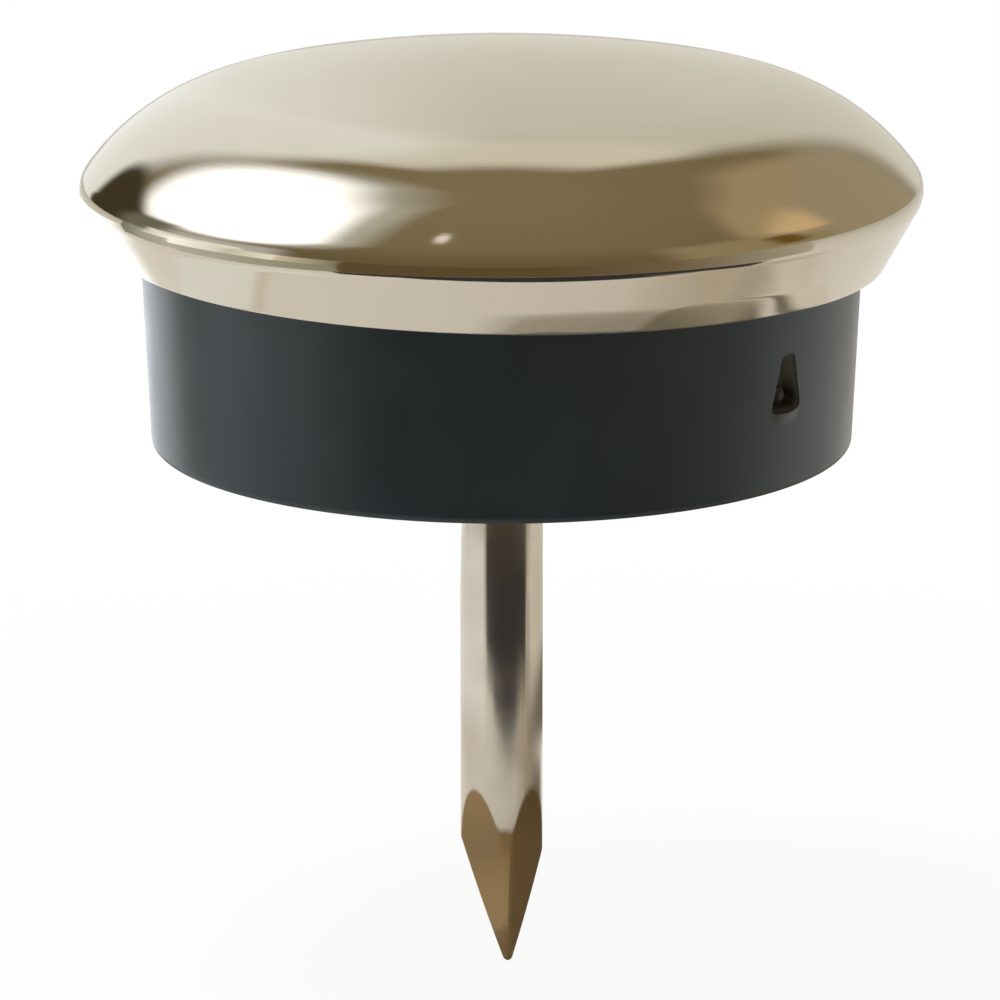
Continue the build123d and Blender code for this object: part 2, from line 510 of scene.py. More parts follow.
def base_plastic(base, foot_radius):
    """Dark satin plastic with a faint mottle, paler where the gate tore, with painted shade deep in the lower
    part of the scar and painted shade darkening the foot's rounding.
    """
    material, tree, skin = new_material("base_plastic")
    place = object_place(tree)
    axes = add_node(tree, "ShaderNodeSeparateXYZ", {0: place})
    height = axes.outputs[2]
    marks = marks_node(tree, place, BASE_MOTTLE, place, BASE_GRAIN)
    pale = tuple(channel * MOTTLE_GAIN for channel in base.colour)
    wall = math(tree, "ADD", math(tree, "MULTIPLY", height, tan(base.draft)), foot_radius)
    depth = math(tree, "SUBTRACT", wall, square_length(tree, *axes.outputs[:2]))
    off_wall = fit(tree, math(tree, "ABSOLUTE", depth), *TORN_DEPTH)
    torn = math(tree, "MULTIPLY", fit(tree, height, *ABOVE_FOOT), off_wall)
    # Painted shade: the lower, deeper part of the gate scar is darkened towards the hollow colour
    low = fit(tree, height, base.gate_height + HOLLOW_SHADE_LOW, base.gate_height + HOLLOW_SHADE_HIGH, 1.0, 0.0)
    hollow_shade = math(tree, "MULTIPLY", low, fit(tree, depth, *HOLLOW_SHADE_DEPTH))
    # Painted shade: over the foot's rounding the colour darkens towards black and the roughness rises
    foot_shade = fit(tree, height, 0.0, base.foot_round, FOOT_SHADE, 0.0)
    colour = mix_colour(tree, marks.outputs["Smudge"], rgba(base.colour), rgba(pale))
    scar = mix_colour(tree, hollow_shade, rgba(base.torn_colour), rgba(base.hollow_shade_colour))
    colour = mix_colour(tree, torn, colour, scar)
    tree.links.new(mix_colour(tree, foot_shade, colour, (0, 0, 0, 1)), skin.inputs["Base Color"])
    rough = by_smudge(tree, marks, *(base.polish * share for share in BASE_SHEEN))
    for dulling, share in ((torn, TORN_ROUGHNESS), (foot_shade, FOOT_SHADE_ROUGHNESS)):
        rough = math(tree, "ADD", rough, math(tree, "MULTIPLY", dulling, share))
    tree.links.new(rough, skin.inputs["Roughness"])
    raise_lines(tree, marks, BASE_LINES, skin)
    return material


# Steel cap

CAP_SEGMENTS = 384

# The crimp: how widely each jaw presses, how its roll grows down the band, how much the rolled lip sinks,
# and the share of the drop that is the same all round
JAWS = 3
JAW_SPREAD = 1.6
ROLL_GROWTH = 1.2
ROLL_SINK = 0.27
EVEN_DROP = 0.1

CapLayout = namedtuple(
    "CapLayout", "crown crown_slope shoulder fold inner_fold down_skirt skirt_normal skirt_length inner_lip")


def cap_layout(cap):
    """Centres and slopes of the cap's section, as the drawn and crimped sheet sets them."""
    slope, tuck = cap.shoulder_slope, cap.skirt_tuck
    reach = cap.crown_radius - cap.shoulder_radius
    to_fold = cap.shoulder_radius - cap.fold_radius
    crown_slope = asin((cap.diameter / 2 - cap.fold_radius - to_fold * sin(slope)) / reach)
    crown = Vector((0, cap.height - cap.crown_radius))
    shoulder = crown + reach * Vector((sin(crown_slope), cos(crown_slope)))
    fold = shoulder + to_fold * Vector((sin(slope), cos(slope)))
    down_skirt = Vector((-sin(tuck), -cos(tuck)))
    skirt_normal = Vector((cos(tuck), -sin(tuck)))
    skirt_length = (fold.y - cap.fold_radius * sin(tuck) - cap.lip_height) / cos(tuck)
    inner_fold = fold + skirt_normal * (cap.fold_radius - cap.sheet)
    return CapLayout(
        crown, crown_slope, shoulder, fold, inner_fold, down_skirt, skirt_normal, skirt_length,
        inner_fold + down_skirt * skirt_length)


def cap_section(cap):
    """The sheet's section: outer skin from the axis to the lip, and back inside to the axis."""
    at = cap_layout(cap)
    slope, tuck = cap.shoulder_slope, cap.skirt_tuck
    level = pi / 2
    edge = cap.lip_round
    outer_lip = at.inner_lip + at.skirt_normal * cap.sheet
    outer_round = outer_lip - (at.skirt_normal + at.down_skirt) * edge
    inner_round = at.inner_lip + (at.skirt_normal - at.down_skirt) * edge
    outer_edge = arc(outer_round, edge, level + tuck, 2 * level + tuck, 8)
    inner_edge = arc(inner_round, edge, 2 * level + tuck, 3 * level + tuck, 8)
    fold = arc(at.fold, cap.fold_radius, slope, level + tuck, 24)
    return joined(
        arc(at.crown, cap.crown_radius, 0, at.crown_slope, 36),
        arc(at.shoulder, cap.shoulder_radius, at.crown_slope, slope, 30),
        fold,
        straight(fold[-1], outer_edge[0], 24),
        outer_edge,
        inner_edge,
        straight(inner_edge[-1], at.inner_fold, 6),
        arc(at.fold, cap.fold_radius - cap.sheet, level + tuck, slope, 8),
        arc(at.shoulder, cap.shoulder_radius - cap.sheet, slope, at.crown_slope, 16),
        arc(at.crown, cap.crown_radius - cap.sheet, at.crown_slope, 0, 18))


def settle_crimp(mesh, cap):
    """Hangs the skirt lower on its right side, and rolls its lip in where the three jaws pressed."""
    at = cap_layout(cap)
    for vertex in mesh.vertices:
        if vertex.co.z < at.inner_fold.y:
            bearing = atan2(vertex.co.y, vertex.co.x)
            place = Vector((hypot(vertex.co.x, vertex.co.y), vertex.co.z)) - at.inner_fold
            below = max(place.dot(at.down_skirt), 0)
            through = place.dot(at.skirt_normal) / cap.sheet
            curl = max(1 - (at.skirt_length - below) / cap.lip_band, 0)
            press = min(JAW_SPREAD * max(cos(JAWS * (bearing - cap.jaw_bearing)), 0), 1)
            roll = cap.lip_roll * sin(press * pi / 2) * curl ** ROLL_GROWTH * through
            tilt = EVEN_DROP + (1 - EVEN_DROP) * cos(bearing)
            drop = cap.crimp_drop * tilt * below / at.skirt_length
            vertex.co -= Vector((roll * cos(bearing), roll * sin(bearing), drop + ROLL_SINK * roll))


class GLIDE_OT_add_cap(bpy.types.Operator):
    """Adds the drawn steel cap with its crimped skirt"""

    bl_idname = "glide.add_cap"
    bl_label = "Add Steel Cap"

    def execute(self, context):
        cap = context.scene.glide_cap
        piece = turn_section("cap_shell", cap_section(cap), CAP_SEGMENTS, cap_nickel(cap))
        settle_crimp(piece.data, cap)
        hand_over(piece, "steel_cap")
        return {"FINISHED"}


# Plastic base

BASE_SEGMENTS = 512

# The gate scar: the rounding of its corners, and its flare as depths over its floor and spreads, both as
# shares of its own sizes. Its stub has the same, and starts a little behind the floor
GATE_ROUND = 0.14 * MM
GATE_FLARE = ((0.0, 0.66), (1.0, 1.0), (2.0, 1.1))
STUB_STEPS = 24
STUB_FLARE = ((-0.5, 1.15), (0.0, 1.15), (0.35, 0.95), (0.5, 0.5))

# The torn flash: half its width and height, and how far its middle lies above the scar's lower edge
FLASH_HALF_WIDTH = 0.58 * MM
FLASH_HALF_HEIGHT = 0.36 * MM
FLASH_LIFT = 0.02 * MM


def head_seat(nail):
    """Height of the nail head's underside."""
    return nail.head_top - nail.head_thickness


def base_wall(cap, base):
    """Foot and neck of the base's drafted outer wall."""
    at = cap_layout(cap)
    neck = at.inner_lip - Vector((base.lip_gap, base.lip_gap / tan(cap.skirt_tuck)))
    foot = Vector((neck.x - neck.y * tan(base.draft), 0))
    return foot, neck


def base_section(cap, base, nail):
    """The base's section: foot, wall, flange, bevelled plug, and the nail's pocket and bore."""
    at = cap_layout(cap)
    foot, neck = base_wall(cap, base)
    edge = base.foot_round
    foot_round = Vector((foot.x + edge * tan(base.draft) - edge / cos(base.draft), edge))
    foot_edge = arc(foot_round, edge, pi, pi / 2 + base.draft, 8)
    flange = at.inner_fold + at.down_skirt * base.flange_gap
    plug_radius = cap.crown_radius - cap.sheet - base.dome_gap
    plug = at.crown + plug_radius * Vector((sin(at.crown_slope), cos(at.crown_slope)))
    seat = head_seat(nail)
    shank, throat, head = nail.diameter / 2, nail.neck_diameter / 2, nail.head_diameter / 2 + base.lip_gap
    mouth = shank + (throat - shank) * base.bore_lead / nail.neck_taper
    lead = Vector((mouth + base.bore_lead, 0))
    return joined(
        straight(lead, foot_edge[0], 12),
        foot_edge,
        straight(foot_edge[-1], neck, 48),
        [flange, plug, Vector((head, plug.y)), Vector((head, seat)), Vector((throat, seat)),
         Vector((throat, nail.neck_taper)), Vector((mouth, base.bore_lead)), lead])


def rounded_outline(corners, radius, steps):
    """A polygon, listed anticlockwise, with its corners rounded."""
    outline = []
    for index, corner in enumerate(corners):
        back = (corners[index - 1] - corner).normalized()
        ahead = (corners[(index + 1) % len(corners)] - corner).normalized()
        half = back.angle(ahead) / 2
        centre = corner + (back + ahead).normalized() * radius / sin(half)
        start = corner + back * radius / tan(half)
        end = corner + ahead * radius / tan(half)
        for step in range(steps + 1):
            outline.append(centre + (start.lerp(end, step / steps) - centre).normalized() * radius)
    return outline


def prism(name, rings):
    """A closed mesh through rings of equal count, each a list of points in space."""
    count = len(rings[0])
    points = [point for ring in rings for point in ring]
    faces = [list(range(count)), [len(points) - count + i for i in range(count)]]
    for ring in range(len(rings) - 1):
        start, above = ring * count, (ring + 1) * count
        for i in range(count):
            ahead = (i + 1) % count
            faces.append((start + i, start + ahead, above + ahead, above + i))
    mesh = bpy.data.meshes.new(name)
    mesh.from_pydata(points, [], faces)
    face_outwards(mesh)
    return new_piece(name, mesh)


def cut_away(piece, cutter):
    """Cuts a closed piece by another one, which is then removed."""
    modifier = piece.modifiers.new("Cut", "BOOLEAN")
    modifier.operation = "DIFFERENCE"
    modifier.solver = "EXACT"
    modifier.object = cutter
    bake_modifiers(piece)
    bpy.data.objects.remove(cutter)


def gate_directions(base):
    """The directions outward and sideways at the gate scar."""
    outward = Vector((cos(base.gate_bearing), sin(base.gate_bearing), 0))
    return outward, Vector((-outward.y, outward.x, 0))


def gate_cutter(base, wall_radius):
    """The gate scar's pocket, flared towards its mouth, left standing round the stub of the gate."""
    outward, side = gate_directions(base)
    up = Vector((0, 0, 1))
    middle = outward * (wall_radius - base.gate_deep) + up * base.gate_height

    def ring(outline, depth):
        return [middle + side * p.x + up * p.y + outward * depth for p in outline]

    def pocket(spread):
        sizes = (base.gate_wide, base.gate_narrow, base.gate_tall)
        wide, narrow, tall = (spread * size / 2 for size in sizes)
        corners = [Vector(p) for p in ((-wide, -tall), (wide, -tall), (narrow, tall), (-narrow, tall))]
        return rounded_outline(corners, GATE_ROUND * spread, 6)

    def stub(spread):
        radius, drop = base.stub_diameter / 2 * spread, base.stub_drop
        return [Vector((radius * cos(turn), radius * sin(turn) - drop)) for turn in turns(STUB_STEPS)]

    deep = base.gate_deep
    cutter = prism("gate_cutter", [ring(pocket(spread), depth * deep) for depth, spread in GATE_FLARE])
    cut_away(cutter, prism("gate_stub", [ring(stub(spread), depth * deep) for depth, spread in STUB_FLARE]))
    return cutter


def raise_flash(mesh, base, wall_radius):
    """Raises the torn flash on the wall, along the gate scar's lower edge."""
    outward, side = gate_directions(base)
    flash_height = base.gate_height - base.gate_tall / 2 + FLASH_LIFT
    for vertex in mesh.vertices:
        if vertex.co.dot(outward) > wall_radius - base.gate_deep:
            across = vertex.co.dot(side) / FLASH_HALF_WIDTH
            along = (vertex.co.z - flash_height) / FLASH_HALF_HEIGHT
            if abs(across) < 1 and abs(along) < 1:
                swell = (1 - across * across) ** 2 * (1 - along * along) ** 2
                vertex.co += outward * base.flash_proud * swell


class GLIDE_OT_add_base(bpy.types.Operator):
    """Adds the moulded base with its gate scar"""

    bl_idname = "glide.add_base"
    bl_label = "Add Plastic Base"

    def execute(self, context):
        scene = context.scene
        cap, base, nail = scene.glide_cap, scene.glide_base, scene.glide_nail
        foot = base_wall(cap, base)[0]
        wall_radius = foot.x + base.gate_height * tan(base.draft)
        section, finish = base_section(cap, base, nail), base_plastic(base, foot.x)
        piece = turn_section("base_body", section, BASE_SEGMENTS, finish)
        raise_flash(piece.data, base, wall_radius)
        cut_away(piece, gate_cutter(base, wall_radius))
        piece.data.set_sharp_from_angle(angle=SHARP_ANGLE)
        hand_over(piece, "plastic_base")
        return {"FINISHED"}


# Nail

RING_STEPS = 240
POINT_RINGS = 110
SHANK_RINGS = 8
TIP_RINGS = 6

# How far the close rings go on above the facets, in roundings of their edge
RINGS_PAST_FACETS = 4

# The least lean of a direction towards a facet at which the facet can bound it
LEAST_LEAN = 0.05


def pinches(nail):
    """Bearing and length of the point's four broad facets, and of its two trimmed ridges."""
    facets = [(nail.point_turn - pi / 4 + side * pi / 2, nail.facet_length) for side in range(4)]
    ridges = [(nail.point_turn - pi / 2 + side * pi, nail.ridge_length) for side in range(2)]
    return facets + ridges


def pinch_reach(nail, bearing, length, height):
    """Distance of one bowed facet from the axis, along its bearing, at a height."""
    share = (height + nail.length) / length
    tip = nail.tip_width / 2 + nail.tip_offset * cos(bearing)
    rise = nail.diameter / 2 - tip
    bow = 4 * nail.pinch_bulge * share * (1 - share) * hypot(rise, length) / length
    return tip + rise * share + bow


def soft_least(first, second, blend):
    """The lesser of two lengths, rounded where they are nearly equal."""
    near = max(blend - abs(first - second), 0) / blend
    return min(first, second) - near * near * blend / 4


def point_ring(nail, height):
    """One ring of the nail: its points, and how deep the pinch cuts the shank at each."""
    shank = nail.diameter / 2
    above_tip = height + nail.length
    centre = Vector((nail.tip_offset * max(1 - above_tip / nail.facet_length, 0), 0))
    blunt = 1 - min(above_tip / nail.tip_round, 1)
    faces = []
    for bearing, length in pinches(nail):
        face = Vector((cos(bearing), sin(bearing)))
        faces.append((face, pinch_reach(nail, bearing, length, height) - centre.dot(face)))
    points, depths = [], []
    for turn in turns(RING_STEPS):
        out = Vector((cos(turn), sin(turn)))
        along = centre.dot(out)
        whole = sqrt(along * along + shank * shank - centre.length_squared) - along
        pinched = 2 * shank
        for face, reach in faces:
            lean = out.dot(face)
            if lean > LEAST_LEAN:
                pinched = soft_least(pinched, reach / lean, nail.ridge_round)
        radius = soft_least(whole, pinched, nail.edge_round) * sqrt(1 - blunt * blunt)
        place = centre + out * radius
        points.append(Vector((place.x, place.y, height)))
        depths.append(whole - pinched)
    return points, depths


def nail_heights(nail):
    """Heights of the nail's rings below the seat: close together over the point."""
    tip, point_top = nail.tip_round, nail.facet_length + RINGS_PAST_FACETS * nail.edge_round
    above_tip = [tip * (1 - cos(pi / 2 * step / TIP_RINGS)) for step in range(1, TIP_RINGS)]
    above_tip += [tip + (point_top - tip) * step / POINT_RINGS for step in range(POINT_RINGS + 1)]
    shank = nail.length - point_top
    above_tip += [point_top + shank * step / SHANK_RINGS for step in range(1, SHANK_RINGS + 1)]
    return [height - nail.length for height in above_tip]


def nail_mesh(nail):
    """The nail's skin, with the depth of its pinched facets kept as an attribute."""
    shell = bmesh.new()
    cut = shell.verts.layers.float.new("cut")
    grid = []
    for height in nail_heights(nail):
        points, depths = point_ring(nail, height)
        ring = [shell.verts.new(point) for point in points]
        for vertex, depth in zip(ring, depths):
            vertex[cut] = min(max(depth / nail.edge_round, 0), 1)
        grid.append(ring)
    turned = len(grid)
    throat, head, seat = nail.neck_diameter / 2, nail.head_diameter / 2, head_seat(nail)
    for radius, height in ((throat, nail.neck_taper), (throat, seat), (head, seat), (head, nail.head_top)):
        points = [(radius * cos(turn), radius * sin(turn), height) for turn in turns(RING_STEPS)]
        grid.append([shell.verts.new(point) for point in points])
    for lower, upper in zip(grid, grid[1:]):
        for i in range(RING_STEPS):
            ahead = (i + 1) % RING_STEPS
            shell.faces.new((lower[i], lower[ahead], upper[ahead], upper[i])).smooth = True
    for ring in (grid[0], grid[-1]):
        shell.faces.new(ring)
    for ring in grid[turned + 1:]:
        for i in range(RING_STEPS):
            shell.edges.get((ring[i], ring[(i + 1) % RING_STEPS])).smooth = False
    bmesh.ops.recalc_face_normals(shell, faces=shell.faces)
    mesh = bpy.data.meshes.new("nail_body")
    shell.to_mesh(mesh)
    shell.free()
    return mesh


class GLIDE_OT_add_nail(bpy.types.Operator):
    """Adds the headed nail with its pinched point"""

    bl_idname = "glide.add_nail"
    bl_label = "Add Nail"

    def execute(self, context):
        nail = context.scene.glide_nail
        piece = new_piece("nail_body", nail_mesh(nail))
        piece.data.materials.append(nail_nickel(nail))
        hand_over(piece, "nail")
        return {"FINISHED"}


# Stage

SENSOR_WIDTH = 36
FLOOR_SEGMENTS = 96

# Where the floor's shade fades out, from the nail's axis
SHADE_INNER, SHADE_OUTER = 22 * MM, 55 * MM

# A soft-edged card of the surroundings, with round corners: azimuths from the camera's side, positive to the
# right, all in degrees
SurroundCard = namedtuple("SurroundCard", "name centre half_width low high softness corner colour")

# The room behind the cards goes from one colour to another between two elevations
ROOM_LOW = (0.20, 0.152, 0.075)
ROOM_HIGH = (0.295, 0.238, 0.135)
ROOM_RISE = (10.0, 80.0)

# Twelve of the cards were placed by hand, then fitted by a separate program to what the photographed cap
# mirrors, and rounded. The backdrop's top, the sill and the lamp were added one by one
SURROUND = (
    SurroundCard("left wall", -88, 27, -95, 16.5, 12.5, 4, (0.62, 0.62, 0.585)),
    SurroundCard("right glow", 74.5, 27.5, -95, 38.5, 16, 10, (0.385, 0.31, 0.175)),
    SurroundCard("warm card", 112.5, 29.5, 17, 56, 10.5, 19, (0.485, 0.37, 0.22)),
    SurroundCard("right wall", 123.5, 24.5, -95, 40.5, 8, 10, (0.435, 0.367, 0.24)),
    SurroundCard("backdrop", 179.5, 28.5, -95, 66.5, 13, 14, (0.765, 0.742, 0.652)),
    SurroundCard("backdrop top", 179.5, 29, 48, 67, 11, 8, (0.86, 0.83, 0.71)),
    SurroundCard("bright backdrop", -158.5, 16, -95, 57, 13, 14, (1.025, 1.045, 1.02)),
    SurroundCard("window glow", -95, 41, 23.5, 76.5, 17, 21, (0.595, 0.595, 0.515)),
    SurroundCard("window", -101, 35, 21.5, 67.5, 14, 22, (2.17, 2.24, 2.41)),
    SurroundCard("doorway", -132.5, 14.5, -14, 25.5, 4.5, 9, (0.065, 0.052, 0.025)),
    SurroundCard("jamb", -112, 11, -20, 25.5, 12, 4, (0.21, 0.20, 0.158)),
    SurroundCard("sill", -91, 18, -12, 3.5, 5, 3, (1.12, 1.14, 1.10)),
    SurroundCard("warm core", 102, 9.5, 27.5, 42.5, 8, 6, (0.805, 0.58, 0.315)),
    SurroundCard("post", 84.5, 5.5, 3.5, 28.5, 7, 5, (0.183, 0.107, 0.026)),
    SurroundCard("lamp", -28, 3, 63.5, 68, 3, 2, (1.1, 1.05, 0.95)),
)

# A card that shows in reflections alone, from above or from the nail's side: a strip about the nail's axis
# between two azimuths, with the radius and the height over the floor of its inner edge, at its left end,
# middle and right end, and of its outer edge, in millimetres, its colours at the left and right ends, and the
# share that its edges fade over
NearCard = namedtuple(
    "NearCard",
    "name left right inner_radii inner_heights outer_radius outer_height left_colour right_colour soft",
    defaults=(0.0,))

CARD_STEPS = 32
CARD_ROWS = 8
CARD_LIFT = 0.02 * MM


def even(value):
    """One value at the left end, middle and right end of a card's inner edge."""
    return (value, value, value)


# An inner edge that lies on the floor
FLAT = even(0)

# The screens that the nail mirrors stand upright, clear of the glide, with a gap between two that stand one
# behind the other
SCREEN_RADIUS = 20
SCREEN_TOP = 8.0
FRONT_RADIUS = 28
FRONT_TOP = 6.2
SCREEN_GAP = 0.2
BEHIND_SCREEN = SCREEN_RADIUS + SCREEN_GAP
BEFORE_SCREEN = SCREEN_RADIUS - SCREEN_GAP
BEHIND_FRONT = FRONT_RADIUS + SCREEN_GAP

# Colours that cards share
WARM_DARK = (0.155, 0.107, 0.048)
WARM_MIDDLE = (0.23, 0.175, 0.10)
STRIPE = (0.05, 0.045, 0.044)
SHADED = (0.52, 0.52, 0.44)
NEAR_CARDS = (
    NearCard("dark_floor", -42, 10, (34, 25, 23), FLAT, 400, 0, WARM_DARK, WARM_DARK),
    NearCard("warm_floor", 10, 45, (23, 23.5, 25), FLAT, 400, 0, WARM_DARK, WARM_MIDDLE),
    NearCard("right_floor", 45, 88, (25, 34, 46), FLAT, 400, 0, WARM_MIDDLE, (0.55, 0.50, 0.40)),
    NearCard("left_ring", -97, -42, (38, 32, 34), FLAT, 66, 0, (0.68, 0.68, 0.62), (0.36, 0.35, 0.25)),
    NearCard("left_far", -60, -42, even(66), FLAT, 400, 0, (0.85, 0.80, 0.62), (0.30, 0.27, 0.18)),
    NearCard("bright_far", -76, -60, even(66), FLAT, 400, 0, (0.80, 0.79, 0.68), (1.20, 1.18, 0.98)),
    NearCard("streak_far", -97, -76, even(66), FLAT, 400, 0, (1.55, 1.62, 1.62), (0.95, 0.94, 0.85)),
    NearCard("shaded_floor", -109, -97, (47, 45, 44), FLAT, 120, 0, SHADED, (0.66, 0.66, 0.60)),
    NearCard("shaded_far", -109, -97, even(120), FLAT, 400, 0, (0.80, 0.80, 0.72), (1.45, 1.52, 1.52)),
    NearCard("doorway_floor", -120, -109, (60, 56, 48), FLAT, 400, 0, (0.25, 0.25, 0.20), SHADED),
    NearCard("window_floor", -168, -119, (39, 37, 35), FLAT, 110, 0,
             (2.20, 2.30, 2.45), (1.20, 1.25, 1.20), 0.12),
    NearCard("front_screen", -42.5, 70.5, even(BEHIND_FRONT), FLAT, BEHIND_FRONT, FRONT_TOP,
             (0.76, 0.70, 0.65), (0.72, 0.65, 0.60)),
    NearCard("dark_screen", -42.5, 70.5, even(FRONT_RADIUS), (1.4, -2.0, 0.6), FRONT_RADIUS, FRONT_TOP,
             STRIPE, STRIPE),
    NearCard("stripe_floor", -22, 54, (27, 21.5, 26), even(0.03), FRONT_RADIUS, 0.03, STRIPE, STRIPE),
    NearCard("left_screen", -157, -42, even(SCREEN_RADIUS), FLAT, SCREEN_RADIUS, SCREEN_TOP,
             (0.97, 0.98, 0.95), (0.97, 0.98, 0.95), 0.08),
    NearCard("left_base", -157, -42, even(BEFORE_SCREEN), FLAT, BEFORE_SCREEN, 1.4,
             (0.80, 0.75, 0.66), (0.76, 0.71, 0.62), 0.3),
    NearCard("shaded_screen", 70, 176, even(BEHIND_SCREEN), FLAT, BEHIND_SCREEN, 5.5,
             (0.24, 0.21, 0.155), (0.19, 0.165, 0.12), 0.08),
    NearCard("right_screen", 68, 176, even(SCREEN_RADIUS), (0.6, 2.0, 3.2), SCREEN_RADIUS, SCREEN_TOP,
             (0.89, 0.82, 0.71), (0.66, 0.61, 0.53), 0.2),
    # Painted light: a pale patch on the floor under the cap, where its shade lies, for the nail's left facet
    # to mirror
    NearCard("left_light_patch", -150, 25, even(1.2), even(0.05), 4.2, 0.05,
             (0.80, 0.76, 0.70), (0.80, 0.76, 0.70)),
    # Painted shade: a dark patch on the floor under the cap, darkest on the right, for the cap's shadow that
    # the metal mirrors
    NearCard("right_shade_patch", -30, 150, (4.5, 1.2, 1.2), FLAT, 9.5, 0, (0.55, 0.50, 0.42), (0.20, 0.18, 0.13)),
    NearCard("lip_shade", 62, 138, (7.8, 7.5, 10), even(0.04), 19.5, 0.04,
             (0.22, 0.19, 0.135), (0.22, 0.195, 0.14), 0.06),
    NearCard("right_shade", 38, 106, (12, 12, 13), even(0.06), 36, 0.06,
             (0.60, 0.52, 0.42), (0.58, 0.51, 0.40), 0.35),
)


def soft_card_group():
    """Shader group: the mask of one soft-edged card, from the distance to its rounded outline."""
    names = ("Azimuth", "Elevation", "Centre", "Half Width", "Low", "High", "Softness", "Corner")
    tree, given, result = new_group(
        "Soft Card", "ShaderNodeTree", [(name, "NodeSocketFloat", 0.0) for name in names],
        [("Mask", "NodeSocketFloat")])
    sockets = given.outputs
    corner = sockets["Corner"]
    offset = math(tree, "SUBTRACT", sockets["Azimuth"], sockets["Centre"])
    side = math(tree, "ABSOLUTE", math(tree, "WRAP", offset, 180.0, -180.0))
    middle = math(tree, "MULTIPLY", math(tree, "ADD", sockets["Low"], sockets["High"]), 0.5)
    rise = math(tree, "ABSOLUTE", math(tree, "SUBTRACT", sockets["Elevation"], middle))
    half_height = math(tree, "SUBTRACT", sockets["High"], middle)
    past_side = math(tree, "ADD", math(tree, "SUBTRACT", side, sockets["Half Width"]), corner)
    past_top = math(tree, "ADD", math(tree, "SUBTRACT", rise, half_height), corner)
    out_side, out_top = math(tree, "MAXIMUM", past_side, 0.0), math(tree, "MAXIMUM", past_top, 0.0)
    outside = square_length(tree, out_side, out_top)
    inside = math(tree, "MINIMUM", math(tree, "MAXIMUM", past_side, past_top), 0.0)
    distance = math(tree, "SUBTRACT", math(tree, "ADD", outside, inside), corner)
    half_soft = math(tree, "MULTIPLY", sockets["Softness"], 0.5)
    inner = math(tree, "MULTIPLY", half_soft, -1.0)
    tree.links.new(fit(tree, distance, inner, half_soft, 1.0, 0.0, smooth=True), result.inputs["Mask"])
    return tree


def studio_world():
    """World: a soft room of pale and dark cards for the metal to mirror, and white to the camera."""
    world = bpy.data.worlds.new("Studio")
    world.use_nodes = True
    tree = world.node_tree
    tree.nodes.clear()
    axes = add_node(
        tree, "ShaderNodeSeparateXYZ", {0: add_node(tree, "ShaderNodeTexCoord").outputs["Generated"]})
    azimuth = math(tree, "DEGREES", math(
        tree, "ARCTAN2", axes.outputs[0], math(tree, "MULTIPLY", axes.outputs[1], -1.0)))
    elevation = math(tree, "DEGREES", math(tree, "ARCSINE", axes.outputs[2]))
    colour = mix_colour(tree, fit(tree, elevation, *ROOM_RISE), rgba(ROOM_LOW), rgba(ROOM_HIGH))
    group = soft_card_group()
    for card in SURROUND:
        inputs = {
            "Azimuth": azimuth, "Elevation": elevation, "Centre": card.centre, "Half Width": card.half_width,
            "Low": card.low, "High": card.high, "Softness": card.softness, "Corner": card.corner}
        node = add_node(tree, "ShaderNodeGroup", inputs, node_tree=group, label=card.name)
        colour = mix_colour(tree, node.outputs["Mask"], colour, rgba(card.colour))
    room = add_node(tree, "ShaderNodeBackground", {"Color": colour})
    white = add_node(tree, "ShaderNodeBackground", {"Color": (1, 1, 1, 1)})
    seen = add_node(tree, "ShaderNodeLightPath").outputs["Is Camera Ray"]
    shown = add_node(tree, "ShaderNodeMixShader", {0: seen, 1: room.outputs[0], 2: white.outputs[0]})
    add_node(tree, "ShaderNodeOutputWorld", {"Surface": shown.outputs[0]})
    return world


def bare_material(name):
    """A node material without any node."""
    material = bpy.data.materials.new(name)
    material.use_nodes = True
    material.node_tree.nodes.clear()
    return material, material.node_tree


def show_front(tree, shader, opacity):
    """Shows a shader on the front of a stage mesh, and nothing on its back."""
    clear = add_node(tree, "ShaderNodeBsdfTransparent")
    behind = add_node(tree, "ShaderNodeNewGeometry").outputs["Backfacing"]
    front = math(tree, "MULTIPLY", math(tree, "SUBTRACT", 1.0, behind), opacity)
    shown = add_node(tree, "ShaderNodeMixShader", {0: front, 1: clear.outputs[0], 2: shader.outputs[0]})
    add_node(tree, "ShaderNodeOutputMaterial", {"Surface": shown.outputs[0]})


def floor_finish(stage):
    """Pale floor that the camera sees as white with a faint shade near the glide."""
    material, tree = bare_material("pale_floor")
    place = object_place(tree)
    reach = add_node(tree, "ShaderNodeVectorMath", {0: place}, operation="LENGTH").outputs["Value"]
    near = fit(tree, reach, SHADE_INNER, SHADE_OUTER, stage.shadow, 0.0, smooth=True)
    light_path = add_node(tree, "ShaderNodeLightPath")
    lit = math(tree, "SUBTRACT", 1.0, near)
    white_share = math(tree, "MULTIPLY", light_path.outputs["Is Camera Ray"], lit)
    paper = add_node(tree, "ShaderNodeBsdfDiffuse", {"Color": rgba(stage.floor_colour)})
    white = add_node(tree, "ShaderNodeEmission", {"Color": (1, 1, 1, 1), "Strength": 1.0})
    face = add_node(tree, "ShaderNodeMixShader", {0: white_share, 1: paper.outputs[0], 2: white.outputs[0]})
    show_front(tree, face, 1.0)
    return material


def card_finish(card):
    """Glow of a card on its front, in the colours of its points, and nothing on its back."""
    material, tree = bare_material(card.name)
    paint = add_node(tree, "ShaderNodeAttribute", attribute_name="glow")
    glow = add_node(tree, "ShaderNodeEmission", {"Color": paint.outputs["Color"], "Strength": 1.0})
    show_front(tree, glow, paint.outputs["Alpha"])
    material.cycles.emission_sampling = "NONE"
    return material


def bowed(values, share):
    """A value part way along an edge, through the values at its start, middle and end."""
    start, middle, end = values
    rest = 1 - share
    return start * rest * (1 - 2 * share) + middle * 4 * share * rest + end * share * (2 * share - 1)


